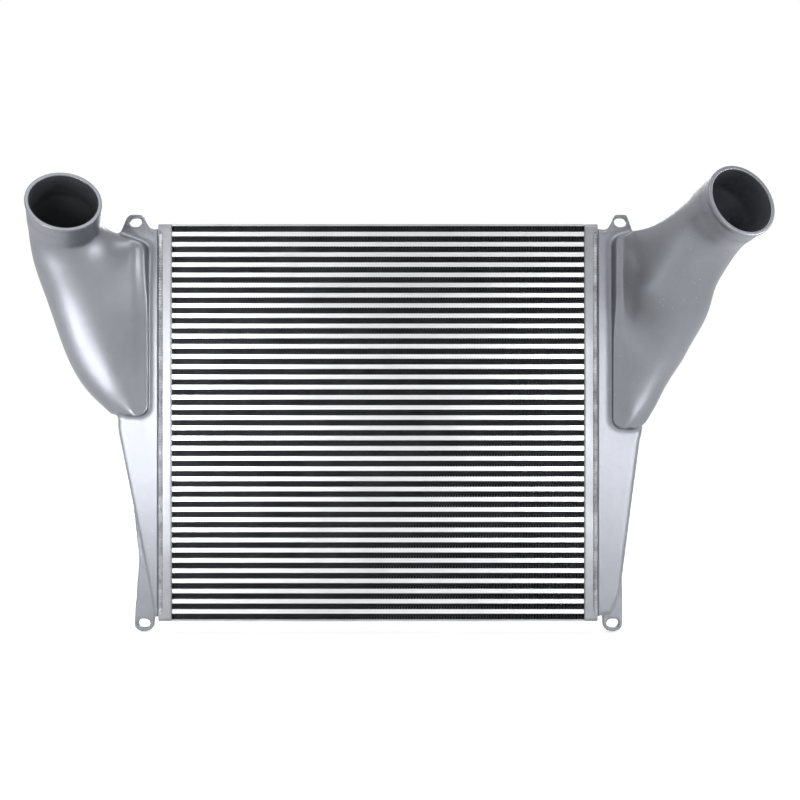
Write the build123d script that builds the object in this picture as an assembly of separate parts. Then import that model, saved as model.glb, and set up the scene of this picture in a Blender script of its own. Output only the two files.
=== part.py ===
from build123d import *
import math
import os

# A truck intercooler: a brazed core of flat tubes and fins between two cast side tanks.
# Millimetres. X runs to the right and Z up as seen from the side that the pipes point to,
# and Y runs away from that side. The origin is midway between the two lower lug slots.

# Core
core_width = 618.0
core_bottom_z = 9.0
tube_count = 38
tube_height = 6.5
tube_depth = 60.0
tube_wall = 0.8
tube_web_count = 2
fin_height = 8.8
fin_setback = 1.5
fin_end_gap = 5.0
side_plate_thickness = 3.0

# Headers
header_thickness = 3.0
header_rim = 20.0
header_depth = 66.0
header_corner = 6.0
header_slot_clearance = 0.1

# Tanks
tank_wall = 4.5
tank_edge_radius = 7.0
tank_top_drop = 6.0
tank_bottom_rise = 6.0
left_upper_width = 62.0
left_knee_z = 290.0
left_foot_width = 6.0
right_upper_width = 66.0
right_knee_z = 278.0
right_foot_width = 35.0
right_foot_z = 52.0
right_foot_radius = 26.0
tank_shoulder_drop = 39.2
tank_shoulder_inset = 8.0

# Pipes
pipe_diameter = 99.0
pipe_wall = 4.0
pipe_length = 55.0
bead_diameter = 102.0
bead_width = 6.0
body_step = 1.5
duct_flare = 1.5
duct_edge_inset = 3.0
end_ring_shares = [0.0, 0.5, 0.8, 0.96]
left_mouth = (104.0, 104.0, -17.8)
left_pipe_direction = Vector(0.293, -0.834, 0.468).normalized()
right_mouth = (152.5, 175.0, -3.8)
right_pipe_direction = Vector(0.318, -0.900, 0.296).normalized()

# Ducts, from the pipe down into the tank: each station is a centre and a radius.
# A centre is measured out from the tank's open side, forward of its front and down from its top.
left_stations = [
    ((118.0, 33.0, 47.2), 53.5),
    ((113.0, 15.0, 75.2), 54.0),
    ((100.0, -3.0, 141.2), 51.0),
    ((75.0, -12.0, 220.2), 43.0),
    ((60.0, -9.0, 243.2), 38.0),
]
right_stations = [
    ((107.5, 62.0, 80.6), 51.5),
    ((80.6, 17.0, 162.2), 44.0),
    ((55.0, -2.0, 242.2), 33.0),
    ((45.5, 4.0, 276.2), 26.0),
]

# Raised housings where the ducts open into the tanks: points out from the open side and down
housing_height = 30.0
housing_back = 18.0
housing_edge_radius = 7.0
left_housing_outline = [
    (77.0, 3.2),
    (12.8, 27.2),
    (12.8, 283.2),
    (49.0, 281.2),
    (63.0, 220.2),
    (89.0, 141.2),
    (101.0, 73.2),
    (107.0, 15.2),
]
right_housing_outline = [
    (86.0, -0.8),
    (20.5, 16.2),
    (20.5, 302.2),
    (39.0, 301.2),
    (47.0, 242.2),
    (71.0, 162.2),
    (99.0, 80.6),
    (111.0, 24.2),
]
housing_corner_radius = 16.0

# Lugs
lug_thickness = 10.0
slot_width = 13.0
slot_length = 19.0
lower_lug_out = 29.0
upper_lug_out = 34.0
upper_lug_rise = 8.3
lug_rim = 5.5
left_lug_foot = 53.0
right_lug_foot = 44.0
right_lug_top = 22.0
upper_lug_foot_depth = 10.0
left_web_top_z = 262.0
left_web_waist = 7.0
right_web_top_z = 150.0
right_web_waist = 0.0
web_waist_z = 100.0

# Sizes that follow
tube_pitch = tube_height + fin_height
stack_height = tube_count * tube_pitch + fin_height
core_top_z = core_bottom_z + stack_height + 2 * side_plate_thickness
first_fin_z = core_bottom_z + side_plate_thickness
core_half = core_width / 2
tank_x = core_half + header_rim
tank_top_z = core_top_z - tank_top_drop
tank_bottom_z = core_bottom_z + tank_bottom_rise
tank_front_y = -header_depth / 2
housing_front_y = tank_front_y - housing_height
lower_lug_reach = tank_x + lower_lug_out
upper_lug_reach = tank_x + upper_lug_out
upper_lug_z = tank_top_z + upper_lug_rise


def beside_tank(side, out, forward, drop):
    """A point out from the tank's open side, forward of its front and down from its top."""
    return Vector(side * (tank_x + out), tank_front_y - forward, tank_top_z - drop)


def tube_z(index):
    return first_fin_z + fin_height + tube_height / 2 + index * tube_pitch


def tube(index):
    """One flat extruded tube with inner webs, its ends flush in the header plates."""
    length = core_width + 2 * header_thickness
    start = Plane.YZ.offset(-length / 2)
    channel_count = tube_web_count + 1
    channel_depth = (tube_depth - tube_wall) / channel_count - tube_wall
    places = GridLocations(channel_depth + tube_wall, 0, channel_count, 1)
    bores = places * Rectangle(channel_depth, tube_height - 2 * tube_wall)
    section = Rectangle(tube_depth, tube_height) - bores
    return Pos(0, 0, tube_z(index)) * extrude(start * section, length)


def fin_strip(index):
    """The envelope of one corrugated fin strip, brazed between two tubes."""
    length = core_width - 2 * fin_end_gap
    depth = tube_depth - 2 * fin_setback
    z = first_fin_z + fin_height / 2 + index * tube_pitch
    return Pos(0, 0, z) * Box(length, depth, fin_height)


def side_plate(z_low):
    """A flat plate that closes the top or bottom of the core."""
    z = z_low + side_plate_thickness / 2
    return Pos(0, 0, z) * Box(core_width, tube_depth, side_plate_thickness)


def header(side):
    """A pan with one slot for each tube and a rim that the tank is welded to."""
    height = core_top_z - core_bottom_z
    middle_z = (core_top_z + core_bottom_z) / 2
    outline = RectangleRounded(header_depth, height, header_corner)
    inner_corner = header_corner - header_thickness
    inside = RectangleRounded(
        header_depth - 2 * header_thickness, height - 2 * header_thickness, inner_corner
    )
    face = Plane(origin=(side * core_half, 0, middle_z), x_dir=(0, 1, 0), z_dir=(side, 0, 0))
    floor = face.offset(header_thickness)
    pan = extrude(face * outline, header_rim) - extrude(floor * inside, header_rim)
    slot_height = tube_height + 2 * header_slot_clearance
    slot_depth = tube_depth + 2 * header_slot_clearance
    slots = [
        face * Pos(0, tube_z(i) - middle_z) * Rectangle(slot_depth, slot_height)
        for i in range(tube_count)
    ]
    return pan - extrude(Sketch() + slots, header_thickness)


def front_prism(points, y_front, y_back):
    """A prism between two depths, from an outline of X and Z points."""
    return extrude(front_plane(y_back) * outline_face(points), y_back - y_front)


def tank_outline(side):
    """The tank's front outline: deep at the top, tapering to the foot."""
    top_outer = tank_top_z - tank_shoulder_inset
    if side < 0:
        width = left_upper_width
        lower = [
            (width, left_knee_z + width / 4),
            (width - 2.0, left_knee_z),
            (left_foot_width, tank_bottom_z),
        ]
    else:
        width = right_upper_width
        lower = [
            (width, right_knee_z + width / 4),
            (width - 2.0, right_knee_z),
            (right_foot_width, right_foot_z),
            (right_foot_width - right_foot_radius / 2, tank_bottom_z + right_foot_radius / 4),
            (0, tank_bottom_z),
        ]
    upper = [(0, tank_top_z), (width - tank_shoulder_inset, top_outer), (width, tank_top_z - tank_shoulder_drop)]
    points = upper + lower
    if side < 0:
        points.append((0, tank_bottom_z))
    return [(side * (tank_x + d), z) for d, z in points]


def drawn_out_circle(plane, reach, large, small):
    """A large circle drawn out along X to a narrow flat, by two tangent lines."""
    turn = math.acos((large - small) / reach)
    middle = (turn + math.pi / 2) / 2
    small_top = (reach + small * math.cos(turn), small * math.sin(turn))
    small_low = (small_top[0], -small_top[1])

    def on_large(angle):
        return (large * math.cos(angle), large * math.sin(angle))

    outline = [
        Line(on_large(turn), small_top),
        Line(small_top, small_low),
        Line(small_low, on_large(-turn)),
        ThreePointArc(on_large(-turn), on_large(-middle), (0, -large)),
        ThreePointArc((0, -large), (-large, 0), (0, large)),
        ThreePointArc((0, large), on_large(middle), on_large(turn)),
    ]
    return plane * make_face(outline)


def rounded_end(centre, along, radius):
    """The duct's closed end: rings that follow a ball."""
    rings = []
    for share in end_ring_shares:
        plane = Plane(origin=centre + along * (radius * share), z_dir=along)
        rings.append(plane * Circle(radius * math.sqrt(1 - share * share)))
    return loft(rings, ruled=True)


def duct(side, mouth, direction, stations, outline, shrink):
    """A loft from the pipe's root into the tank, drawn out to the housing's front edge."""
    root = mouth - direction * pipe_length
    centres = [root] + [centre for centre, radius in stations]
    radii = [pipe_diameter / 2 + body_step] + [radius for centre, radius in stations]
    edge_x = outline[1][0] + side * (housing_edge_radius + duct_edge_inset)
    edge_y = housing_front_y + housing_edge_radius + duct_edge_inset
    small = housing_edge_radius - shrink
    sections = []
    for i in range(1, len(centres)):
        along = (centres[min(i + 1, len(centres) - 1)] - centres[i - 1]).normalized()
        to_edge = Vector(edge_x, edge_y, 0) - Vector(centres[i].X, centres[i].Y, 0)
        to_edge = to_edge + Vector(0, 0, -to_edge.dot(along) / along.Z)
        plane = Plane(origin=centres[i], x_dir=to_edge, z_dir=along)
        sections.append(drawn_out_circle(plane, to_edge.length, radii[i] - shrink, small))
        if i == 1:
            toward = centres[1] + to_edge - root
    toward = toward + direction * -toward.dot(direction)
    plane = Plane(origin=root, x_dir=toward, z_dir=direction * -1)
    reach = radii[0] - housing_edge_radius + duct_flare
    sections.insert(0, drawn_out_circle(plane, reach, radii[0] - shrink, small))
    body = loft(sections[:2], ruled=True) + loft(sections[1:])
    return body + rounded_end(centres[-1], along, radii[-1] - shrink)


def pipe(mouth, direction):
    """The round pipe end with its hose bead."""
    plane = Plane(origin=mouth, x_dir=(1, 0, 0), z_dir=direction * -1)
    bead = extrude(plane * Circle(bead_diameter / 2), bead_width)
    return bead + extrude(plane * Circle(pipe_diameter / 2), pipe_length + tank_wall)


def pipe_bore(mouth, direction):
    plane = Plane(origin=mouth, x_dir=(1, 0, 0), z_dir=direction * -1)
    return extrude(plane * Circle(pipe_diameter / 2 - pipe_wall), pipe_length + tank_wall)


def fillet_faces_at(body, depths, radius, keep_x=None):
    """Round the edges that lie at the given depths, but not those on the open side."""
    edges = []
    for edge in body.edges():
        box = edge.bounding_box()
        flat = box.size.Y < 0.01
        at_depth = any(abs(box.center().Y - d) < 0.01 for d in depths)
        on_open_side = keep_x is not None and box.size.X < 0.01 and abs(box.center().X - keep_x) < 0.01
        if flat and at_depth and not on_open_side:
            edges.append(edge)
    return fillet(edges, radius)


def outline_face(points):
    """A flat face from an outline of X and Z points."""
    return make_face(Polyline(*points, close=True))


def housing_face(outline):
    """The housing's front outline, with its two corners near the core rounded."""
    face = outline_face(outline)
    corners = face.vertices().sort_by(lambda vertex: abs(vertex.X))[:2]
    return fillet(corners, housing_corner_radius)


def front_plane(y):
    """A plane across the part at a depth, facing the front."""
    return Plane(origin=(0, y, 0), x_dir=(1, 0, 0), z_dir=(0, -1, 0))


def housing(outline):
    """The raised part of the tank: flat in front, with rounded edges all round."""
    depth = housing_back - housing_front_y
    body = extrude(front_plane(housing_back) * housing_face(outline), depth)
    return fillet_faces_at(body, [housing_front_y, housing_back], housing_edge_radius)


def housing_cavity(outline):
    depth = housing_back - housing_front_y - 2 * tank_wall
    face = offset(housing_face(outline), -tank_wall)
    return extrude(front_plane(housing_back - tank_wall) * face, depth)


def channel(side):
    """The long box of the tank, open towards the header."""
    body = front_prism(tank_outline(side), tank_front_y, -tank_front_y)
    return fillet_faces_at(body, [tank_front_y, -tank_front_y], tank_edge_radius, side * tank_x)


def channel_cavity(side):
    outline = tank_outline(side)
    face = offset(outline_face(outline), -tank_wall)
    cavity = extrude(front_plane(-tank_front_y - tank_wall) * face, header_depth - 2 * tank_wall)
    opened = cavity.moved(Pos(-side * tank_wall, 0, 0))
    return cavity + opened


def lug_slot(side, reach, z, y_middle):
    plane = Plane(origin=(side * reach, y_middle, z), x_dir=(1, 0, 0), z_dir=(0, -1, 0))
    return extrude(plane * SlotOverall(slot_length, slot_width), lug_thickness, both=True)


def upper_lug(side):
    """An ear that stands up from the tank, flush with its front: round on the left only."""
    plane = Plane(origin=(0, tank_front_y + lug_thickness, 0), x_dir=(1, 0, 0), z_dir=(0, -1, 0))
    if side < 0:
        ear = SlotOverall(slot_length + 2 * lug_rim, slot_width + 2 * lug_rim)
        foot_width = left_lug_foot
    else:
        corner = slot_width / 2
        corners = GridLocations(right_lug_top - 2 * corner, 0, 2, 1)
        ear = Pos(0, slot_width / 2 + lug_rim - corner) * (Sketch() + corners * Circle(corner))
        foot_width = right_lug_foot
    ear = Pos(side * upper_lug_reach, upper_lug_z) * ear
    foot_z = tank_top_z - upper_lug_foot_depth
    foot = Pos(side * upper_lug_reach, foot_z) * Rectangle(foot_width, 1.0)
    return extrude(plane * make_hull(ear.edges() + foot.edges()), lug_thickness)


def lower_lug(side):
    """A web along the tank's outer wall that ends in an ear below the tank."""
    plane = Plane(origin=(0, lug_thickness / 2, 0), x_dir=(1, 0, 0), z_dir=(0, -1, 0))
    ear = Pos(side * lower_lug_reach, 0)
    ear = ear * SlotOverall(slot_length + 2 * lug_rim, slot_width + 2 * lug_rim)
    outline = tank_outline(side)
    neck_x = side * (lower_lug_reach - slot_length / 2)
    neck = Pos(neck_x, tank_bottom_z + slot_width) * Rectangle(slot_length, 1.0)
    ear = make_hull(ear.edges() + neck.edges())
    outer = lower_lug_reach + slot_length / 2 + lug_rim
    web_top = left_web_top_z if side < 0 else right_web_top_z
    waist = left_web_waist if side < 0 else right_web_waist
    web = [
        (side * outer, 0),
        (side * (outer - waist), web_waist_z),
        (side * edge_at(side, web_top), web_top),
        (side * (edge_at(side, web_top) - tank_wall), web_top),
        (side * (tank_x + left_foot_width), tank_bottom_z + slot_width),
    ]
    return extrude(plane * (ear + outline_face(web)), lug_thickness)


def edge_at(side, z):
    """How far out the tank's tapering wall stands at a height."""
    if side < 0:
        high, low = left_knee_z, tank_bottom_z
        wide, narrow = left_upper_width - 2.0, left_foot_width
    else:
        high, low = right_knee_z, right_foot_z
        wide, narrow = right_upper_width - 2.0, right_foot_width
    share = (z - low) / (high - low)
    return tank_x + narrow + share * (wide - narrow)


def tank(side):
    """One cast tank: channel, raised housing, duct, pipe and two lugs."""
    if side < 0:
        mouth, direction = beside_tank(side, *left_mouth), left_pipe_direction
        places, points = left_stations, left_housing_outline
    else:
        mouth, direction = beside_tank(side, *right_mouth), right_pipe_direction
        places, points = right_stations, right_housing_outline
    stations = [(beside_tank(side, *place), radius) for place, radius in places]
    outline = [(side * (tank_x + out), tank_top_z - drop) for out, drop in points]
    body = channel(side) + housing(outline)
    body = body + duct(side, mouth, direction, stations, outline, 0)
    body = body + pipe(mouth, direction) + upper_lug(side) + lower_lug(side)
    cavity = channel_cavity(side) + housing_cavity(outline)
    cavity = cavity + duct(side, mouth, direction, stations, outline, tank_wall)
    cavity = cavity + pipe_bore(mouth, direction)
    body = body - cavity - lug_slot(side, lower_lug_reach, 0, 0)
    return body - lug_slot(side, upper_lug_reach, upper_lug_z, tank_front_y + lug_thickness / 2)


def write(name, shape):
    export_step(shape, f"parts/{name}.step")


def build():
    os.makedirs("parts", exist_ok=True)
    write("tank_left", tank(-1))
    write("tank_right", tank(1))
    write("header_left", header(-1))
    write("header_right", header(1))
    write("side_plate_bottom", side_plate(core_bottom_z))
    write("side_plate_top", side_plate(core_top_z - side_plate_thickness))
    for i in range(tube_count):
        write(f"tube_{i + 1:02d}", tube(i))
    write("fin_strips", Compound(children=[fin_strip(i) for i in range(tube_count + 1)]))


build()
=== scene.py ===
import math

import bmesh
import bpy
import numpy as np
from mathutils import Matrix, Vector


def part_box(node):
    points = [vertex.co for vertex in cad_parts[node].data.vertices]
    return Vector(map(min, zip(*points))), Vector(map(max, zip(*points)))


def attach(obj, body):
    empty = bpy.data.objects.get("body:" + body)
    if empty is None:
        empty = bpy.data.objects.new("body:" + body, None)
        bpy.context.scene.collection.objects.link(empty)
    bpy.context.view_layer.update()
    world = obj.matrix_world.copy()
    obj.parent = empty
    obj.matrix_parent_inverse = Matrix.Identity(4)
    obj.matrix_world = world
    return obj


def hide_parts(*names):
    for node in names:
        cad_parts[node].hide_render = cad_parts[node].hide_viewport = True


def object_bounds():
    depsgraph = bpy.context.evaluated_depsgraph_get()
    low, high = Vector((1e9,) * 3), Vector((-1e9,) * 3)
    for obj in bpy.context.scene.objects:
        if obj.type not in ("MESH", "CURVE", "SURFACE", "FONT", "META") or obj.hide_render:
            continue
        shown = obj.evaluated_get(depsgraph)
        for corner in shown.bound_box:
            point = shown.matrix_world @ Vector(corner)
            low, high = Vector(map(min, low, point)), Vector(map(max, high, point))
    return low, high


# The intercooler's looks: cast tanks, welds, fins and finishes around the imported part. Metres.

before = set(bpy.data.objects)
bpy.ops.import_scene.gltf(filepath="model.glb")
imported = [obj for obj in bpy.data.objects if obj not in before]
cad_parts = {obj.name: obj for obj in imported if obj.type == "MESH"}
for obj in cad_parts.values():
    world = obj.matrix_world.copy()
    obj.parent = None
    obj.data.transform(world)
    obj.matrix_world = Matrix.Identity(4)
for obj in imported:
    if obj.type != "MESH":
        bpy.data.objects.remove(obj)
cad_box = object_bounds()
scene = bpy.context.scene

MM = 0.001
SIDES = ("left", "right")

# Camera, set where the photograph was taken from
CAMERA_PLACE = (0.033, -1.430, 0.3412)
CAMERA_LENS = 42.0
CAMERA_SENSOR = 36.0

# Pipes: the mouth's centre, and the way it points
PIPES = {
    "left": (Vector((-0.433, -0.137, 0.617)), Vector((0.293, -0.834, 0.468)).normalized()),
    "right": (Vector((0.4815, -0.208, 0.603)), Vector((0.318, -0.900, 0.296)).normalized()),
}
PIPE_RADIUS = 49.5 * MM
PIPE_BORE = 45.5 * MM
PIPE_LENGTH = 55.0 * MM
PIPE_LIP = 1.4 * MM
PIPE_STEPS = 128
LIP_STEPS = 4

# The bead at the mouth: its radius, and the depths where it starts, rises and reaches its crest
BEAD_RADIUS = 51.0 * MM
BEAD_FOOT = 9.0 * MM
BEAD_BACK = 7.5 * MM
BEAD_CREST = 4.5 * MM
BEAD_STEPS = 8

# The turned ring at each mouth, and how it laps and sinks into the cast wall behind it
RING_LENGTH = 20.0 * MM
RING_LAP = 3.6 * MM
RING_SINK = 0.15 * MM
CUT_MARGIN = 2.0 * MM

# Cast surface: the tanks are swollen, remeshed, smoothed and shrunk again
MERGE = 0.02 * MM
SWELL = 1.5 * MM
VOXEL = 2.6 * MM
SMOOTH_IN = 0.55
SMOOTH_OUT = -0.57
SMOOTH_ROUNDS = 36
FACET_ROUNDS = 8

# Where the smoothing is held back: at the tank's open edge, and at its lugs between two heights each
HELD_EDGE = 7.0 * MM
EDGE_SHARE = 0.25
LUG_SHARE = 0.7
LOW_LUG = (22.0 * MM, 44.0 * MM)
HIGH_LUG = (598.0 * MM, 603.0 * MM)
HIGH_LUG_OUT = 400.0 * MM
HIGH_LUG_FRONT = -40.0 * MM

# Where the duct is faired: behind the pipe, in front of the header or far out, and past the rim
HOUSING_EDGE = {"left": 341.8 * MM, "right": 349.5 * MM}
DUCT_BEHIND = (PIPE_LENGTH - 20.0 * MM, PIPE_LENGTH + 5.0 * MM)
DUCT_FORWARD = (8.0 * MM, 25.0 * MM)
DUCT_FAR_OUT = (55.0 * MM, 75.0 * MM)
DUCT_PAST_RIM = (18.0 * MM, 40.0 * MM)
DUCT_ROUNDS = 330
REFAIR_ROUNDS = 70
FAIR_SHARE = 0.95

# The grid of cells on which the housing's face is worked, out from its edge and up
FACET_CELL = 5.0 * MM
FACET_REACH = 150.0 * MM
FACET_LOW = 300.0 * MM
FACET_HIGH = 670.0 * MM
FACET_ROWS = int(FACET_REACH / FACET_CELL)
FACET_COLUMNS = int((FACET_HIGH - FACET_LOW) / FACET_CELL)

# How far the last place on the grid stays from its end, in cells
LAST_CELL = 1.001

# The face leans back towards the core: its low step there, its least ridge, and the rim's rows
FACET_STEP = 9.0 * MM
FACET_RIDGE = FACET_STEP + 2.0 * MM
FACET_FIRST_ROW = 2

# How far a cell's height may be scaled, and in how many rounds the change is blended
FACET_LEAST = 0.25
FACET_MOST = 1.1
FACET_BLEND = 4

# The change fades in behind the pipe, and out between two heights
FACET_FADE = 55.0 * MM
FACET_TOPS = {"left": (0.50, 0.60), "right": (0.42, 0.50)}

# A few heights, and the face's width at each
FACET_WIDTHS = {
    "left": ([0.33, 0.37, 0.415, 0.50, 0.55, 0.60], np.array([34.0, 42.0, 52.0, 66.0, 60.0, 48.0]) * MM),
    "right": ([0.33, 0.406, 0.436, 0.517, 0.59], np.array([26.0, 45.0, 54.0, 76.0, 76.0]) * MM),
}

# How far the right duct's outer side is moved out at a few heights, so that its outline runs straight
NUDGE_HEIGHTS = [0.28, 0.34, 0.40, 0.45, 0.50, 0.55]
NUDGES = np.array([0.0, 7.0, 13.0, 5.0, -5.0, 0.0]) * MM
NUDGE_OUT = (5.0 * MM, 42.0 * MM)

# The header's rounded bend, and how the edges that it follows are told from the rest
HEADER_BEND = 2.5 * MM
BEND_SEGMENTS = 5
RIM_PLANE = 0.05 * MM
RIM_SHARE = 0.985
RIM_NORMAL = 0.1

# Fins: crest and rounding are shares of the fold's pitch and of its height
FIN_PITCH = 4.2 * MM
FIN_FOIL = 0.22 * MM
FIN_SWAY = 5.0 * MM
FIN_CREST = 0.30
FIN_ROUNDING = 0.10
FIN_END_LEAF = 4.0 * MM
FIN_ROWS = 3

# Welds between tank and header: size, ripple, and the narrowing between crests and at the ends
WELD_WIDTH = 7.0 * MM
WELD_HEIGHT = 2.1 * MM
WELD_FOOT = 0.6 * MM
WELD_END = 12.0 * MM
WELD_RIPPLE = 4.2 * MM
WELD_LAG = 0.4 * WELD_RIPPLE
WELD_SHARPNESS = 1.6
WELD_PINCH = 0.15
WELD_TROUGH = 0.15
WELD_TIP = 0.4
WELD_ACROSS = 9
WELD_RIPPLE_ROWS = 6
WELD_TIP_ROWS = 10

# The hand's wander along a weld
WANDER_SEED = 7
WANDER_ROWS = 25
WANDER_SIDE = 0.3 * MM
WANDER_PHASE = 0.25

# The metals' colours, dark and light, and the two ends of their roughness
CAST_COLOURS = ((0.195, 0.202, 0.225), (0.250, 0.259, 0.285))
CAST_PIT = (0.12, 0.12, 0.14)
CAST_NICK = (0.85, 0.86, 0.90)
CAST_MARK = 0.55
CAST_ROUGHNESS = (0.37, 0.46)
# Fin colours are painted shade: the foil is darkened to stand for the shade deep in the core
FIN_SHADE_COLOURS = ((0.055, 0.058, 0.066), (0.125, 0.130, 0.142))
FIN_ROUGHNESS = (0.5, 0.65)
WELD_COLOURS = ((0.11, 0.114, 0.125), (0.40, 0.41, 0.44))
WELD_ROUGHNESS = (0.42, 0.3)
TUBE_COLOURS = ((0.60, 0.605, 0.62), (0.72, 0.722, 0.735))
TUBE_ROUGHNESS = (0.28, 0.40)
HEADER_COLOURS = ((0.225, 0.231, 0.249), (0.30, 0.308, 0.328))
HEADER_ROUGHNESS = (0.36, 0.46)
PLATE_COLOURS = ((0.36, 0.365, 0.38), (0.46, 0.465, 0.48))
PLATE_ROUGHNESS = (0.34, 0.46)
LINES_ALONG_X = (0.04, 1.0, 1.0)
LINES_ALONG_Z = (1.0, 1.0, 0.05)

# Floor: its colours, its size, and how much it is lifted to white where it is seen
FLOOR_COLOURS = ((0.90, 0.90, 0.90), (0.92, 0.92, 0.92))
FLOOR_ROUGHNESS = (0.85, 0.9)
FLOOR_HALF = 6.0
FLOOR_DROP = 1.0 * MM
FLOOR_GLOW = 0.5
WHITE = (1.0, 1.0, 1.0)

# World: its strength as a light, and where it is seen
WORLD_LIGHT = 0.7
WORLD_SEEN = 1.0

# Lamps: place, target, width, height, power and spread
MIDDLE = (0.0, 0.0, 0.3)
NARROW = math.radians(42)
WIDE = math.pi
LAMPS = {
    "lamp_front_left": ((-0.72, -1.25, 0.30), (-0.36, 0.0, 0.30), 0.34, 0.44, 0.52, NARROW),
    "lamp_front_right": ((0.76, -1.25, 0.26), (0.40, 0.0, 0.26), 0.34, 0.48, 0.44, NARROW),
    "lamp_side_left": ((-1.00, -0.90, 0.14), (-0.46, -0.1, 0.52), 0.5, 0.24, 0.45, NARROW),
    "lamp_cross_left": ((0.74, -0.32, 0.36), (-0.35, -0.06, 0.36), 0.12, 0.6, 0.35, NARROW),
    "lamp_cross_right": ((-0.74, -0.32, 0.36), (0.35, -0.06, 0.36), 0.12, 0.6, 0.05, NARROW),
    "lamp_above": ((0.0, -1.2, 2.4), MIDDLE, 2.0, 1.0, 14.0, WIDE),
    "lamp_back": ((0.4, 2.6, 1.4), MIDDLE, 1.6, 1.2, 26.0, WIDE),
}


def add_object(name, data):
    piece = bpy.data.objects.new(name, data)
    scene.collection.objects.link(piece)
    return piece


def new_mesh(name, vertices, faces, smooth=True):
    mesh = bpy.data.meshes.new(name)
    mesh.from_pydata([tuple(v) for v in vertices], [], [tuple(f) for f in faces])
    mesh.update()
    if smooth:
        mesh.shade_smooth()
    return add_object(name, mesh)


def set_material(piece, material):
    piece.data.materials.clear()
    piece.data.materials.append(material)


class Nodes:
    """Short calls that add nodes to one tree."""

    def __init__(self, tree):
        self.tree = tree

    def feed(self, socket, value):
        """Sets a socket to a number or a colour, or links it to another node's output."""
        if isinstance(value, float):
            socket.default_value = value
        elif isinstance(value, tuple):
            socket.default_value = (*value, 1.0)
        else:
            self.tree.links.new(value, socket)

    def maths(self, operation, first, second):
        node = self.tree.nodes.new("ShaderNodeMath")
        node.operation = operation
        self.feed(node.inputs[0], first)
        self.feed(node.inputs[1], second)
        return node.outputs["Value"]

    def product(self, first, second):
        return self.maths("MULTIPLY", first, second)

    def seen_directly(self):
        """One for rays from the camera, for mirrored and for transmitted ones."""
        rays = self.tree.nodes.new("ShaderNodeLightPath").outputs
        mirrored = self.maths("MAXIMUM", rays["Is Camera Ray"], rays["Is Glossy Ray"])
        return self.maths("MAXIMUM", mirrored, rays["Is Transmission Ray"])


class Finish(Nodes):
    """One material, and the nodes that its look is made of."""

    def __init__(self, name):
        self.material = bpy.data.materials.new(name)
        self.material.use_nodes = True
        super().__init__(self.material.node_tree)
        self.shader = self.tree.nodes["Principled BSDF"]
        self.place = self.tree.nodes.new("ShaderNodeTexCoord").outputs["Object"]

    def stretched(self, stretch):
        """The place that a pattern is laid at, scaled apart along X, Y and Z."""
        if stretch is None:
            return self.place
        node = self.tree.nodes.new("ShaderNodeMapping")
        node.inputs["Scale"].default_value = stretch
        self.feed(node.inputs["Vector"], self.place)
        return node.outputs["Vector"]

    def noise(self, scale, detail, rough, stretch=None):
        node = self.tree.nodes.new("ShaderNodeTexNoise")
        self.feed(node.inputs["Scale"], scale)
        self.feed(node.inputs["Detail"], detail)
        self.feed(node.inputs["Roughness"], rough)
        self.feed(node.inputs["Vector"], self.stretched(stretch))
        return node.outputs["Fac"]

    def spots(self, scale, stretch=None):
        """The distance from the nearest of many scattered points."""
        node = self.tree.nodes.new("ShaderNodeTexVoronoi")
        self.feed(node.inputs["Scale"], scale)
        self.feed(node.inputs["Vector"], self.stretched(stretch))
        return node.outputs["Distance"]

    def ramp(self, source, places, values):
        """The source between two places turned into greys or colours between two values."""
        node = self.tree.nodes.new("ShaderNodeValToRGB")
        for element, place, value in zip(node.color_ramp.elements, places, values):
            element.position = place
            colour = value if isinstance(value, tuple) else (value, value, value)
            element.color = (*colour, 1.0)
        self.feed(node.inputs["Fac"], source)
        return node.outputs["Color"]

    def mix(self, amount, first, second):
        node = self.tree.nodes.new("ShaderNodeMix")
        node.data_type = "RGBA"
        self.feed(node.inputs["Factor"], amount)
        self.feed(node.inputs["A"], first)
        self.feed(node.inputs["B"], second)
        return node.outputs["Result"]

    def bump(self, height, depth, strength, under=None):
        node = self.tree.nodes.new("ShaderNodeBump")
        self.feed(node.inputs["Distance"], depth)
        self.feed(node.inputs["Strength"], strength)
        self.feed(node.inputs["Height"], height)
        if under is not None:
            self.feed(node.inputs["Normal"], under)
        return node.outputs["Normal"]

    def done(self, colour, roughness, normal, metallic):
        self.feed(self.shader.inputs["Base Color"], colour)
        self.feed(self.shader.inputs["Roughness"], roughness)
        self.feed(self.shader.inputs["Normal"], normal)
        self.feed(self.shader.inputs["Metallic"], metallic)
        return self.material


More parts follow.
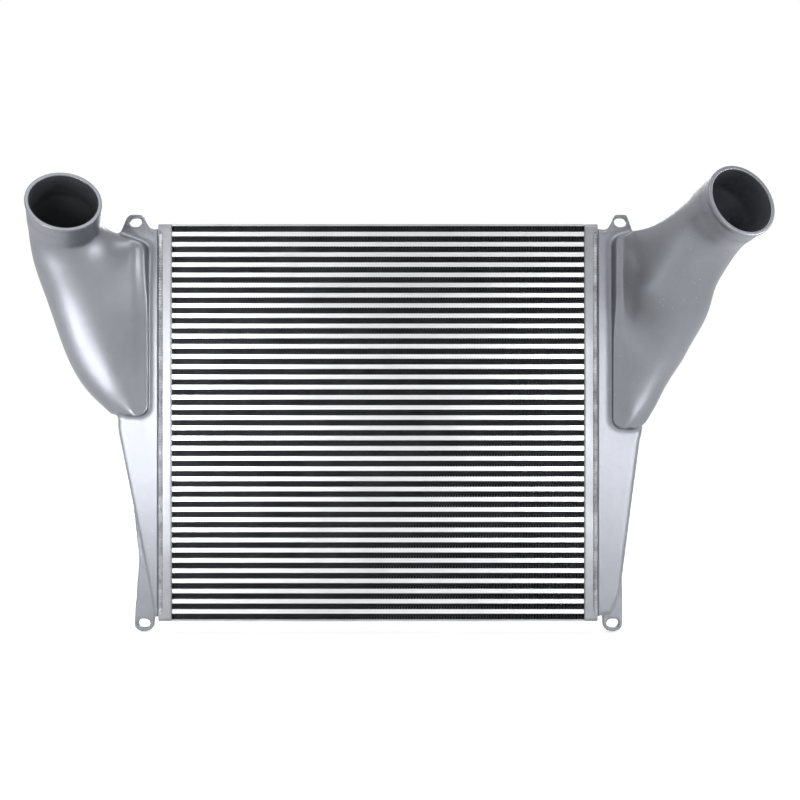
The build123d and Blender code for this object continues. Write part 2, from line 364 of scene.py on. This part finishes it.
def cast_material():
    """Satin sand-cast aluminium: soft clouds, fine grain, pits and a few bright nicks."""
    metal = Finish("cast_aluminium")
    clouds = metal.noise(scale=9.0, detail=5.0, rough=0.6)
    colour = metal.ramp(clouds, (0.30, 0.72), CAST_COLOURS)
    roughness = metal.ramp(clouds, (0.3, 0.7), CAST_ROUGHNESS)

    pits = metal.ramp(metal.spots(scale=170.0), (0.0, 0.16), (1.0, 0.0))
    pit_areas = metal.ramp(metal.noise(scale=16.0, detail=3.0, rough=0.6), (0.48, 0.62), (0.0, 1.0))
    pit_mask = metal.product(pits, pit_areas)
    colour = metal.mix(metal.product(pit_mask, CAST_MARK), colour, CAST_PIT)

    nicks = metal.ramp(metal.spots(scale=75.0, stretch=(1.0, 1.0, 2.2)), (0.0, 0.09), (1.0, 0.0))
    nick_areas = metal.ramp(metal.noise(scale=7.0, detail=2.0, rough=0.5), (0.50, 0.58), (0.0, 1.0))
    nick_mask = metal.product(metal.product(nicks, nick_areas), CAST_MARK)
    colour = metal.mix(nick_mask, colour, CAST_NICK)

    grain = metal.noise(scale=420.0, detail=3.0, rough=0.7)
    waves = metal.noise(scale=60.0, detail=4.0, rough=0.6)
    normal = metal.bump(grain, depth=0.10 * MM, strength=0.6)
    normal = metal.bump(waves, depth=0.35 * MM, strength=0.5, under=normal)
    normal = metal.bump(pit_mask, depth=-0.25 * MM, strength=0.8, under=normal)
    return metal.done(colour, roughness, normal, metallic=0.85)


def sheet_material(name, colours, rough_ends, stretch):
    """Rolled or extruded aluminium with drawn lines along one direction and faint stains."""
    metal = Finish(name)
    lines = metal.noise(scale=60.0, detail=3.0, rough=0.6, stretch=stretch)
    stains = metal.noise(scale=14.0, detail=4.0, rough=0.6)
    waves = metal.noise(scale=35.0, detail=3.0, rough=0.5)
    colour = metal.ramp(stains, (0.32, 0.68), colours)
    roughness = metal.ramp(lines, (0.3, 0.7), rough_ends)
    normal = metal.bump(lines, depth=0.06 * MM, strength=0.5)
    normal = metal.bump(waves, depth=0.25 * MM, strength=0.35, under=normal)
    return metal.done(colour, roughness, normal, metallic=0.9)


def fin_material():
    """Thin foil, dull, and painted dark as painted shade for the depth of the core."""
    metal = Finish("fin_foil_painted_shade")
    patches = metal.noise(scale=22.0, detail=4.0, rough=0.6)
    grain = metal.noise(scale=900.0, detail=2.0, rough=0.5)
    # Painted shade: the foil's colour is kept dark to stand for the shade in the depth of the core
    colour = metal.ramp(patches, (0.3, 0.7), FIN_SHADE_COLOURS)
    roughness = metal.ramp(patches, (0.3, 0.7), FIN_ROUGHNESS)
    normal = metal.bump(grain, depth=0.05 * MM, strength=0.5)
    return metal.done(colour, roughness, normal, metallic=0.6)


def weld_material():
    """Weld metal: bright crests and greyer soot."""
    metal = Finish("weld_metal")
    soot = metal.noise(scale=40.0, detail=4.0, rough=0.65)
    grain = metal.noise(scale=500.0, detail=3.0, rough=0.6)
    colour = metal.ramp(soot, (0.3, 0.7), WELD_COLOURS)
    roughness = metal.ramp(soot, (0.3, 0.7), WELD_ROUGHNESS)
    normal = metal.bump(grain, depth=0.08 * MM, strength=0.5)
    return metal.done(colour, roughness, normal, metallic=0.9)


def mesh_points(mesh):
    points = np.zeros(len(mesh.vertices) * 3)
    mesh.vertices.foreach_get("co", points)
    return points.reshape(-1, 3)


def mesh_edges(mesh):
    edges = np.zeros(len(mesh.edges) * 2, int)
    mesh.edges.foreach_get("vertices", edges)
    return edges.reshape(-1, 2)


def set_points(mesh, points):
    mesh.vertices.foreach_set("co", points.ravel())
    mesh.update()


def along_normals(mesh, distance):
    """The mesh's points, each moved along its own normal."""
    normals = np.zeros(len(mesh.vertices) * 3)
    mesh.vertex_normals.foreach_get("vector", normals)
    return mesh_points(mesh) + normals.reshape(-1, 3) * distance


def merged_mesh(node):
    """A copy of the node's mesh, and its editing mesh with doubled points merged."""
    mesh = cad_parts[node].data.copy()
    work = bmesh.new()
    work.from_mesh(mesh)
    bmesh.ops.remove_doubles(work, verts=work.verts, dist=MERGE)
    return mesh, work


def remeshed(node):
    """The node's mesh as even quads, swollen a little so that thin walls stay whole."""
    mesh, work = merged_mesh(node)
    work.to_mesh(mesh)
    work.free()
    set_points(mesh, along_normals(mesh, SWELL))
    copy = add_object("remesh_work", mesh)
    modifier = copy.modifiers.new("remesh", "REMESH")
    modifier.mode = "VOXEL"
    modifier.voxel_size = VOXEL
    modifier.adaptivity = 0.0
    bpy.context.view_layer.update()
    evaluated = copy.evaluated_get(bpy.context.evaluated_depsgraph_get())
    result = bpy.data.meshes.new_from_object(evaluated)
    bpy.data.objects.remove(copy)
    return result


def neighbour_sums(points, links):
    """For each point, the sum of the points that it shares an edge with."""
    total = np.zeros_like(points)
    for axis in range(3):
        total[:, axis] = np.bincount(links[:, 0], points[links[:, 1], axis], len(points))
        total[:, axis] += np.bincount(links[:, 1], points[links[:, 0], axis], len(points))
    return total


def smoothed(points, edges, hold, rounds):
    """Rounds of smoothing in and out, which take off facets and keep the size."""
    count = np.bincount(edges.ravel(), minlength=len(points))[:, None]
    for _ in range(rounds):
        for share in (SMOOTH_IN, SMOOTH_OUT):
            step = neighbour_sums(points, edges) / count - points
            points = points + step * (share * hold)[:, None]
    return points


def faired(points, edges, hold, rounds):
    """Long waves taken off, with three passes combined so that little of the size goes."""
    kept = np.nonzero(hold > 0)[0]
    place = np.full(len(points), -1)
    place[kept] = np.arange(len(kept))
    links = place[edges]
    links = links[(links >= 0).all(axis=1)]
    share = hold[kept][:, None]
    count = np.maximum(np.bincount(links.ravel(), minlength=len(kept)), 1)[:, None]
    passes = [points[kept]]
    for _ in range(3):
        values = passes[-1]
        for _ in range(rounds):
            step = neighbour_sums(values, links) / count - values
            values = values + step * FAIR_SHARE * share
        passes.append(values)
    result = points.copy()
    result[kept] = 3 * passes[1] - 3 * passes[2] + passes[3]
    return result


def ease(values, low, high):
    """Nothing up to the low value, one from the high value on, and a soft rise between them."""
    t = np.clip((values - low) / (high - low), 0.0, 1.0)
    return t * t * (3 - 2 * t)


def from_pipe(points, side):
    """Each point's depth behind the pipe's mouth, and its offset from the pipe's axis."""
    mouth, direction = (np.array(vector) for vector in PIPES[side])
    depth = (mouth - points) @ direction
    return depth, points - mouth + depth[:, None] * direction


def past_edge(points, side):
    """How far each point lies outwards of the housing's edge beside the core."""
    return np.abs(points[:, 0]) - HOUSING_EDGE[side]


def before_header(points, side):
    """How far each point lies in front of the header."""
    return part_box("header_" + side)[0].y - points[:, 1]


def smooth_share(points, side):
    """How freely each point is smoothed: less at the tank's open edge and at its lugs."""
    low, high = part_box("header_" + side)
    open_x = low.x if side == "left" else high.x
    off_edge = ease(np.abs(points[:, 0] - open_x), HELD_EDGE / 2, HELD_EDGE * 2)
    on_channel = (np.abs(points[:, 0]) < HIGH_LUG_OUT) & (points[:, 1] > HIGH_LUG_FRONT)
    low_lug = 1 - ease(points[:, 2], *LOW_LUG)
    high_lug = ease(points[:, 2], *HIGH_LUG) * on_channel
    share = EDGE_SHARE + (1 - EDGE_SHARE) * off_edge
    return share * (1 - LUG_SHARE * low_lug) * (1 - LUG_SHARE * high_lug)


def duct_share(points, side):
    """One on the duct, and nothing on the pipe, the housing's edge and the channel."""
    depth, _ = from_pipe(points, side)
    out = past_edge(points, side)
    raised = np.maximum(ease(before_header(points, side), *DUCT_FORWARD), ease(out, *DUCT_FAR_OUT))
    return ease(depth, *DUCT_BEHIND) * raised * ease(out, *DUCT_PAST_RIM)


def box_blurred(grid):
    """Each cell averaged with its eight neighbours."""
    wide = np.pad(grid, 1, mode="edge")
    rows, columns = grid.shape
    return sum(wide[i:i + rows, j:j + columns] for i in range(3) for j in range(3)) / 9


def line_blurred(line):
    """Each value averaged with its two neighbours."""
    wide = np.pad(line, 1, mode="edge")
    return (wide[:-2] + wide[1:-1] + wide[2:]) / 3


def sampled(grid, across, along):
    """The grid's values at places given in cells, blended between the cells' centres."""
    rows, columns = grid.shape
    across = np.clip(across - 0.5, 0.0, rows - LAST_CELL)
    along = np.clip(along - 0.5, 0.0, columns - LAST_CELL)
    i, j = across.astype(int), along.astype(int)
    u, v = across - i, along - j
    low = grid[i, j] * (1 - u) + grid[i + 1, j] * u
    high = grid[i, j + 1] * (1 - u) + grid[i + 1, j + 1] * u
    return low * (1 - v) + high * v


def face_scale(tops, side):
    """The share of its height that each cell of the face keeps, so that the face is flat."""
    rows, columns = tops.shape
    heights = FACET_LOW + (np.arange(columns) + 0.5) * FACET_CELL
    widths = np.interp(heights, *FACET_WIDTHS[side])
    ridge_row = np.clip((widths / FACET_CELL).astype(int), 0, rows - 1)
    ridge = np.maximum(tops[ridge_row, np.arange(columns)], FACET_RIDGE)
    for _ in range(FACET_BLEND * 2):
        ridge = line_blurred(ridge)
    reach = (np.arange(rows)[:, None] + 0.5) * FACET_CELL
    wanted = FACET_STEP + (ridge - FACET_STEP) * np.clip(reach / widths, 0.0, 1.0)
    present = tops[np.maximum(np.arange(rows), FACET_FIRST_ROW)]
    scale = np.clip(wanted / np.maximum(present, FACET_STEP / 2), FACET_LEAST, FACET_MOST)
    scale = np.where(reach < widths, scale, 1.0)
    for _ in range(FACET_BLEND):
        scale = box_blurred(scale)
    return scale


def faceted(points, side):
    """The face beside the core made flat: it rises from a low step there to the duct's ridge."""
    depth, _ = from_pipe(points, side)
    raised = np.clip(before_header(points, side), 0.0, None)
    across = past_edge(points, side) / FACET_CELL
    along = (points[:, 2] - FACET_LOW) / FACET_CELL
    row = np.floor(across).astype(int)
    column = np.floor(along).astype(int)
    inside = (row >= 0) & (row < FACET_ROWS) & (column >= 0) & (column < FACET_COLUMNS)
    inside &= depth > PIPE_LENGTH
    tops = np.zeros((FACET_ROWS, FACET_COLUMNS))
    np.maximum.at(tops, (row[inside], column[inside]), raised[inside])
    change = sampled(face_scale(tops, side), across, along) - 1
    change = change * ease(depth, PIPE_LENGTH, PIPE_LENGTH + FACET_FADE)
    change = change * (1 - ease(points[:, 2], *FACET_TOPS[side]))
    points = points.copy()
    points[:, 1] -= raised * change
    return points


def nudged(points):
    """The right duct's outer side moved a little in or out, so that its outline runs straight."""
    shift = np.interp(points[:, 2], NUDGE_HEIGHTS, NUDGES) * ease(past_edge(points, "right"), *NUDGE_OUT)
    points = points.copy()
    points[:, 0] += shift * np.sign(points[:, 0])
    return points


def trued_pipe(points, side):
    """The cast pipe made round where the turned ring meets it, and left as it is at its root."""
    depth, away = from_pipe(points, side)
    radius = np.linalg.norm(away, axis=1)
    wall = np.where(radius > (PIPE_RADIUS + PIPE_BORE) / 2, PIPE_RADIUS, PIPE_BORE)
    on_pipe = np.abs(radius - wall) < CUT_MARGIN
    share = on_pipe * (1 - ease(depth, RING_LENGTH * 1.5, PIPE_LENGTH - CUT_MARGIN))
    return points + away / radius[:, None] * ((wall - radius) * share)[:, None]


def pipe_profile():
    """Depth and radius of the pipe's wall, round from the seat outside to the seat inside."""
    seat = RING_LENGTH + RING_LAP
    rows = [
        (seat, PIPE_RADIUS - RING_SINK),
        (RING_LENGTH, PIPE_RADIUS - RING_SINK),
        (RING_LENGTH - RING_LAP, PIPE_RADIUS),
        (BEAD_FOOT, PIPE_RADIUS),
    ]
    for i in range(BEAD_STEPS + 1):
        share = i / BEAD_STEPS
        rise = (1 - math.cos(math.pi * share)) / 2
        depth = BEAD_BACK + (BEAD_CREST - BEAD_BACK) * share
        rows.append((depth, PIPE_RADIUS + (BEAD_RADIUS - PIPE_RADIUS) * rise))
    turns = [math.pi / 2 * i / LIP_STEPS for i in range(LIP_STEPS + 1)]
    for turn in turns:
        rows.append((PIPE_LIP * (1 - math.sin(turn)), BEAD_RADIUS - PIPE_LIP * (1 - math.cos(turn))))
    for turn in turns:
        rows.append((PIPE_LIP * (1 - math.cos(turn)), PIPE_BORE + PIPE_LIP * (1 - math.sin(turn))))
    rows += [
        (RING_LENGTH - RING_LAP, PIPE_BORE),
        (RING_LENGTH, PIPE_BORE + RING_SINK),
        (seat, PIPE_BORE + RING_SINK),
    ]
    return rows


def add_pipe(work, side):
    """A turned ring with a bead at its mouth, whose end sits in the duct's wall."""
    mouth, direction = PIPES[side]
    across = direction.orthogonal().normalized()
    over = direction.cross(across)
    turns = [2 * math.pi * i / PIPE_STEPS for i in range(PIPE_STEPS)]
    spokes = [across * math.cos(turn) + over * math.sin(turn) for turn in turns]
    rings = []
    for depth, radius in pipe_profile():
        centre = mouth - direction * depth
        rings.append([work.verts.new(centre + spoke * radius) for spoke in spokes])
    for ring, after in zip(rings, rings[1:]):
        for i in range(PIPE_STEPS):
            j = (i + 1) % PIPE_STEPS
            work.faces.new((ring[i], ring[j], after[j], after[i]))


def cast_tank(side):
    """A cast tank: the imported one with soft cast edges, and a turned pipe end."""
    mesh = remeshed("tank_" + side)
    edges = mesh_edges(mesh)
    points = mesh_points(mesh)
    share = smooth_share(points, side)
    points = smoothed(points, edges, share, SMOOTH_ROUNDS)
    points = faired(points, edges, duct_share(points, side), DUCT_ROUNDS)
    set_points(mesh, points)
    points = faceted(along_normals(mesh, -SWELL), side)
    if side == "right":
        points = nudged(points)
    points = smoothed(points, edges, share, FACET_ROUNDS)
    points = faired(points, edges, duct_share(points, side), REFAIR_ROUNDS)
    depth, away = from_pipe(points, side)
    in_ring = (depth < RING_LENGTH) & (np.linalg.norm(away, axis=1) < BEAD_RADIUS + CUT_MARGIN)
    set_points(mesh, trued_pipe(points, side))
    work = bmesh.new()
    work.from_mesh(mesh)
    work.verts.ensure_lookup_table()
    doomed = [work.verts[i] for i in np.nonzero(in_ring)[0]]
    bmesh.ops.delete(work, geom=doomed, context="VERTS")
    add_pipe(work, side)
    work.to_mesh(mesh)
    work.free()
    mesh.shade_smooth()
    mesh.name = "cast_tank_" + side
    return add_object("cast_tank_" + side, mesh)


def fin_profile():
    """One fold: walls between rounded crests, as shares of the pitch and of the height."""
    half = FIN_CREST / 2
    low, high = FIN_ROUNDING, 1 - FIN_ROUNDING
    return [(0.0, 0.0), (half, low), (0.5 - half, high), (0.5, 1.0), (0.5 + half, high), (1.0 - half, low)]


def fold_line(low_x, high_x):
    """The folds side by side: X, and the share of the strip's height."""
    folds = int((high_x - low_x) / FIN_PITCH)
    start = (high_x + low_x) / 2 - folds * FIN_PITCH / 2
    line = [(start + (fold + u) * FIN_PITCH, v) for fold in range(folds) for u, v in fin_profile()]
    line.append((start + folds * FIN_PITCH, 0.0))
    return np.array(line)


def strip_vertices(line, z_low, z_high, low, high):
    """One strip's points: under and over the foil, in rows from front to back."""
    heights = z_low + FIN_FOIL / 2 + line[:, 1] * (z_high - z_low - FIN_FOIL)
    slope_x = np.gradient(line[:, 0])
    slope_z = np.gradient(heights)
    size = np.hypot(slope_x, slope_z)
    off_x = -slope_z / size * FIN_FOIL / 2
    off_z = slope_x / size * FIN_FOIL / 2
    vertices = []
    for y, sway in ((low.y, 0.0), ((low.y + high.y) / 2, FIN_SWAY), (high.y, 0.0)):
        for sign in (-1, 1):
            xs = np.clip(line[:, 0] + sway + sign * off_x, low.x, high.x)
            zs = np.clip(heights + sign * off_z, z_low, z_high)
            vertices.extend(zip(xs, np.full(len(line), y), zs))
    return vertices


def strip_faces(base, count):
    """The faces of one strip, whose points start at base and lie in rows of count."""
    layers = [base + k * count for k in range(2 * FIN_ROWS)]
    faces = []
    for k in range(0, 2 * FIN_ROWS - 2, 2):
        under, over, under_next, over_next = layers[k:k + 4]
        for i in range(count - 1):
            faces.append((under + i, under + i + 1, under_next + i + 1, under_next + i))
            faces.append((over + i, over_next + i, over_next + i + 1, over + i + 1))
        for i in (0, count - 1):
            faces.append((under + i, under_next + i, over_next + i, over + i))
    for under, over in (layers[:2], layers[-2:]):
        for i in range(count - 1):
            faces.append((under + i, over + i, over + i + 1, under + i + 1))
    return faces


def fin_strips(name, strips, low, high):
    """Corrugated foil strips: folds side by side, swaying once through the core's depth."""
    line = fold_line(low.x, high.x)
    vertices, faces = [], []
    for z_low, z_high in strips:
        faces += strip_faces(len(vertices), len(line))
        vertices += strip_vertices(line, z_low, z_high, low, high)
    return new_mesh(name, vertices, faces, smooth=False)


def strip_heights():
    """The height range of each fin strip, between the tubes and the side plates."""
    tubes = sorted(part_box(n)[0].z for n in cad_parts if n.startswith("tube_"))
    low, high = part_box("tube_01")
    thick = high.z - low.z
    bottoms = [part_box("side_plate_bottom")[1].z] + [z + thick for z in tubes]
    tops = tubes + [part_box("side_plate_top")[0].z]
    return list(zip(bottoms, tops))


def weld_vertices(x, y, z_low, z_high, sign):
    """The bead's points in rows from below: an arch on the face, and a foot sunk behind it."""
    rows = int((z_high - z_low) / (WELD_RIPPLE / WELD_RIPPLE_ROWS))
    rng = np.random.default_rng(WANDER_SEED)
    wander = rng.normal(0, 1, rows)
    wander = np.convolve(wander, np.ones(WANDER_ROWS) / WANDER_ROWS, "same")
    turns = [math.pi * c / (WELD_ACROSS - 1) for c in range(WELD_ACROSS)]
    vertices = []
    for r in range(rows):
        z = z_low + (z_high - z_low) * r / (rows - 1)
        phase = (z / WELD_RIPPLE + WANDER_PHASE * wander[r]) % 1.0
        crest = 1.0 - phase ** WELD_SHARPNESS
        tip = min(1.0, min(r, rows - 1 - r) / WELD_TIP_ROWS)
        width = WELD_WIDTH * (1 - WELD_PINCH * (1 - crest)) * (WELD_TIP + (1 - WELD_TIP) * tip)
        height = WELD_HEIGHT * (WELD_TROUGH + (1 - WELD_TROUGH) * crest) * tip
        middle = x + WANDER_SIDE * wander[r]
        for turn in turns:
            out = math.sin(turn)
            side = middle - math.cos(turn) * width / 2
            vertices.append((side, y + sign * out * height, z - WELD_LAG * out))
        vertices.append((x, y - sign * WELD_FOOT, z))
    return vertices


def weld_bead(name, x, y, z_low, z_high, sign):
    """A rippled bead along Z on a face that looks along -Y or +Y."""
    vertices = weld_vertices(x, y, z_low, z_high, sign)
    ring = WELD_ACROSS + 1
    last = len(vertices) - ring
    faces = []
    for below in range(0, last, ring):
        above = below + ring
        for c in range(ring):
            after = (c + 1) % ring
            faces.append((below + c, below + after, above + after, above + c))
    faces.append(tuple(range(ring)))
    faces.append(tuple(reversed(range(last, last + ring))))
    piece = new_mesh(name, vertices, faces)
    work = bmesh.new()
    work.from_mesh(piece.data)
    bmesh.ops.recalc_face_normals(work, faces=work.faces)
    work.to_mesh(piece.data)
    work.free()
    return piece


def rim_edges(work, core_x, centre, high):
    """The edges round the header's outline on its side towards the core."""
    edges = []
    for edge in work.edges:
        on_side = all(abs(v.co.x - core_x) < RIM_PLANE for v in edge.verts)
        outer = any(abs(f.normal.x) < RIM_NORMAL for f in edge.link_faces)
        middle = (edge.verts[0].co + edge.verts[1].co) / 2
        reach_y = abs(middle.y - centre.y) / (high.y - centre.y)
        reach_z = abs(middle.z - centre.z) / (high.z - centre.z)
        if on_side and outer and max(reach_y, reach_z) > RIM_SHARE:
            edges.append(edge)
    return edges


def pressed_header(side, material):
    """The header pan with the rounded bend that its pressing leaves along the core."""
    node = "header_" + side
    low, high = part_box(node)
    core_x = low.x if side == "right" else high.x
    mesh, work = merged_mesh(node)
    rim = rim_edges(work, core_x, (low + high) / 2, high)
    bmesh.ops.bevel(work, geom=rim, offset=HEADER_BEND, segments=BEND_SEGMENTS, profile=0.5, affect="EDGES")
    work.to_mesh(mesh)
    work.free()
    mesh.name = "pressed_header_" + side
    piece = add_object("pressed_header_" + side, mesh)
    set_material(piece, material)
    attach(piece, "root")
    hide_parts(node)


def build_tanks(material):
    for side in SIDES:
        piece = cast_tank(side)
        set_material(piece, material)
        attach(piece, "root")
        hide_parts("tank_" + side)


def build_fins(material):
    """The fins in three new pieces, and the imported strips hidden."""
    low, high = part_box("fin_strips")
    low.x -= FIN_END_LEAF
    high.x += FIN_END_LEAF
    strips = strip_heights()
    third = len(strips) // 3
    lower = fin_strips("fin_strips_lower", strips[:third], low, high)
    middle = fin_strips("fin_strips_middle", strips[third:2 * third], low, high)
    upper = fin_strips("fin_strips_upper", strips[2 * third:], low, high)
    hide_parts("fin_strips")
    for piece in (lower, middle, upper):
        set_material(piece, material)
        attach(piece, "root")


def build_welds(material):
    for side, sign in (("left", -1), ("right", 1)):
        low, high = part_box("header_" + side)
        x = (high.x if sign > 0 else low.x) - sign * WELD_WIDTH / 2
        for face, y, out in (("front", low.y, -1), ("back", high.y, 1)):
            name = f"weld_{side}_{face}"
            piece = weld_bead(name, x, y, low.z + WELD_END, high.z - WELD_END, out)
            set_material(piece, material)
            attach(piece, "root")


def finish_cad_nodes():
    """Tubes and side plates get their finish, and the headers their bend."""
    tube = sheet_material("tube_stock", TUBE_COLOURS, TUBE_ROUGHNESS, LINES_ALONG_X)
    header = sheet_material("header_sheet", HEADER_COLOURS, HEADER_ROUGHNESS, LINES_ALONG_Z)
    plate = sheet_material("side_plate", PLATE_COLOURS, PLATE_ROUGHNESS, LINES_ALONG_X)
    for name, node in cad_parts.items():
        if name.startswith("tube_"):
            set_material(node, tube)
        elif name.startswith("side_plate"):
            set_material(node, plate)
    for side in SIDES:
        pressed_header(side, header)


def area_lamp(name, place, target, width, height, power, spread):
    """A soft box that looks at its target."""
    lamp = bpy.data.lights.new(name, "AREA")
    lamp.shape = "RECTANGLE"
    lamp.size = width
    lamp.size_y = height
    lamp.energy = power
    lamp.spread = spread
    piece = add_object(name, lamp)
    piece.location = place
    piece.rotation_euler = (Vector(target) - Vector(place)).to_track_quat("-Z", "Y").to_euler()


def studio():
    """Narrow soft boxes towards the tanks, two wide ones, and a white world."""
    for name, lamp in LAMPS.items():
        area_lamp(name, *lamp)
    world = bpy.data.worlds.new("studio")
    scene.world = world
    world.use_nodes = True
    nodes = Nodes(world.node_tree)
    background = nodes.tree.nodes["Background"]
    level = nodes.tree.nodes.new("ShaderNodeMapRange")
    nodes.feed(level.inputs["To Min"], WORLD_LIGHT)
    nodes.feed(level.inputs["To Max"], WORLD_SEEN)
    nodes.feed(level.inputs["Value"], nodes.seen_directly())
    nodes.feed(background.inputs["Strength"], level.outputs["Result"])
    nodes.feed(background.inputs["Color"], WHITE)
    scene.view_settings.view_transform = "Standard"


def floor():
    """A pale floor just under the part, white where the camera or a mirror sees it."""
    z = cad_box[0][2] - FLOOR_DROP
    size = FLOOR_HALF
    corners = [(-size, -size, z), (size, -size, z), (size, size, z), (-size, size, z)]
    piece = new_mesh("floor", corners, [(0, 1, 2, 3)])
    paint = Finish("floor_pale")
    tone = paint.noise(scale=3.0, detail=2.0, rough=0.5)
    colour = paint.ramp(tone, (0.3, 0.7), FLOOR_COLOURS)
    roughness = paint.ramp(tone, (0.3, 0.7), FLOOR_ROUGHNESS)
    normal = paint.bump(tone, depth=0.1 * MM, strength=0.2)
    glow = paint.product(paint.seen_directly(), FLOOR_GLOW)
    paint.feed(paint.shader.inputs["Emission Color"], WHITE)
    paint.feed(paint.shader.inputs["Emission Strength"], glow)
    set_material(piece, paint.done(colour, roughness, normal, metallic=0.0))


def camera():
    data = bpy.data.cameras.new("camera")
    data.lens = CAMERA_LENS
    data.sensor_width = CAMERA_SENSOR
    piece = add_object("camera", data)
    piece.location = CAMERA_PLACE
    piece.rotation_euler = (math.pi / 2, 0.0, 0.0)
    scene.camera = piece


camera()
studio()
floor()
finish_cad_nodes()
build_tanks(cast_material())
build_fins(fin_material())
build_welds(weld_material())
